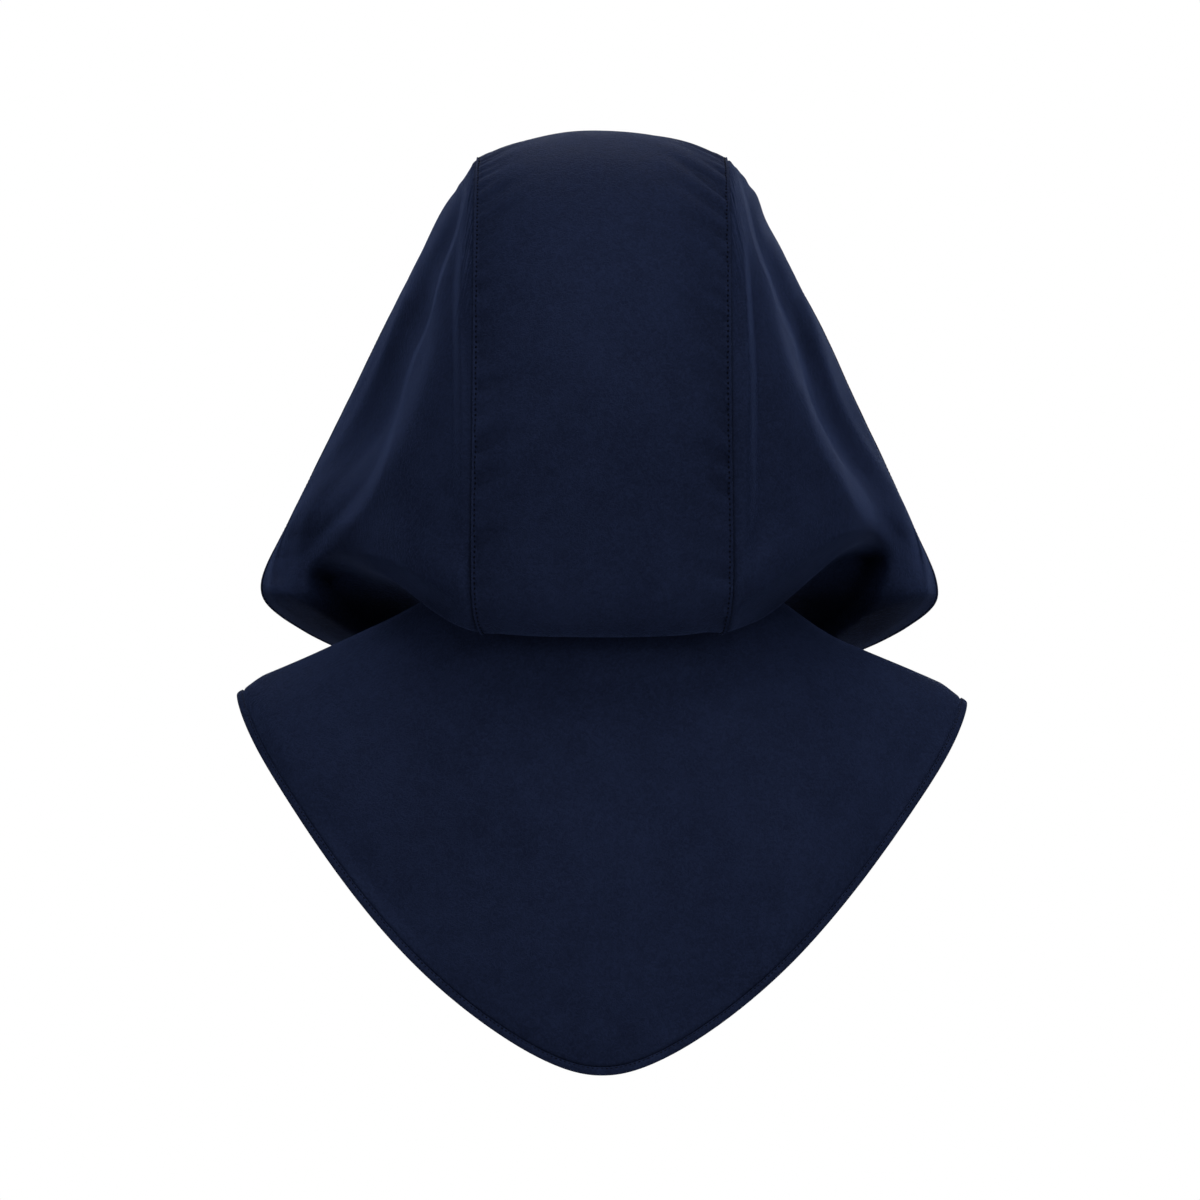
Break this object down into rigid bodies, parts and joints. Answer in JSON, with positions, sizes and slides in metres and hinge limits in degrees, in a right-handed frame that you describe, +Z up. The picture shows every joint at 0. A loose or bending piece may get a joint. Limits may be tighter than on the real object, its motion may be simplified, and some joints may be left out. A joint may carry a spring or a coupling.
{
  "type": "detachable hood with shoulder yoke",
  "caption": "Detachable cloth hood with a centre crown panel, flared side panels and a pointed yoke that lies over the shoulders.",
  "frame": {"origin": "middle of the inner face of the crown panel, where the top of the head carries the hood", "axes": "+Z up, +Y to the wearer's front, +X to the wearer's right"},
  "size_m": [0.4478, 0.2627, 0.5648],
  "materials": {
    "shell_cloth": "smooth, closely woven dark navy cloth with a dull sheen",
    "hem_cloth": "the same dark navy cloth, folded over and stitched"
  },
  "bodies": {
    "root": {"crown_panel": "shell_cloth", "side_panel_left": "shell_cloth", "side_panel_right": "shell_cloth", "yoke_back": "shell_cloth", "yoke_front": "shell_cloth", "face_hem": "hem_cloth", "yoke_hem": "hem_cloth"}
  },
  "joints": []
}
